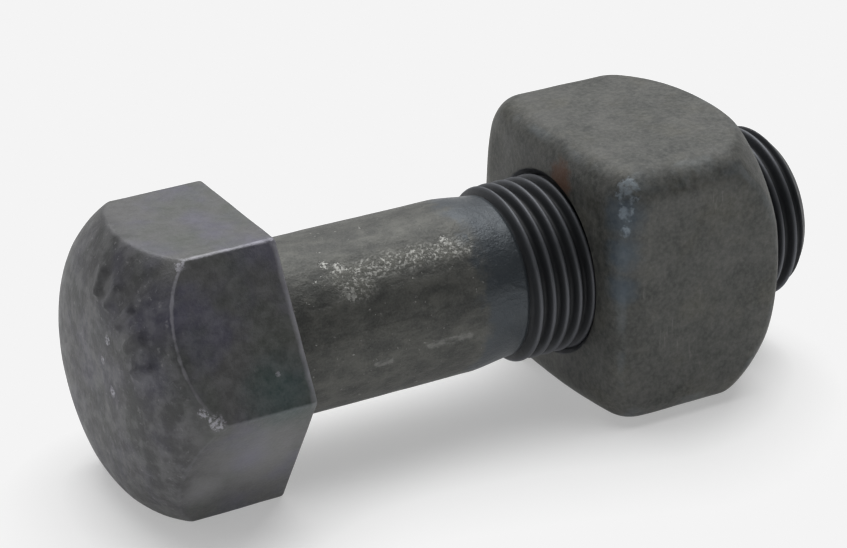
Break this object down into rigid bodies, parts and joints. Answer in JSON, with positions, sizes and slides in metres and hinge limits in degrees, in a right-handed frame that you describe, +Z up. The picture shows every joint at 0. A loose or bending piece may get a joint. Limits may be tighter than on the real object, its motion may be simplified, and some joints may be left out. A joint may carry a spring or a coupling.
{
  "type": "hex bolt with square nut",
  "caption": "Heavy forged hex-head bolt with a domed crown, plain shank, necked rolled thread and a thick crowned square nut that runs along the thread.",
  "frame": {"origin": "on the bolt's axis, in the plane of the head's bearing face", "axes": "+X along the bolt's axis towards its threaded end, +Z up with the head's and the nut's flats resting on a surface, +Y across the bolt"},
  "size_m": [0.0798, 0.033, 0.0286],
  "materials": {
    "bolt_steel": "quenched and tempered forged steel with dark heat scale and an oil blackening, worn bright on its edges",
    "nut_steel": "forged steel with a worn dark heat scale, light scratches and a little rust at the mouth of the thread"
  },
  "bodies": {
    "bolt": {"bolt": "bolt_steel"},
    "nut": {"square_nut": "nut_steel"}
  },
  "joints": [
    {"name": "nut_travel", "type": "slide", "parent": "bolt", "child": "nut", "axis": [1, 0, 0], "range_m": [-0.00635, 0.02857]}
  ]
}
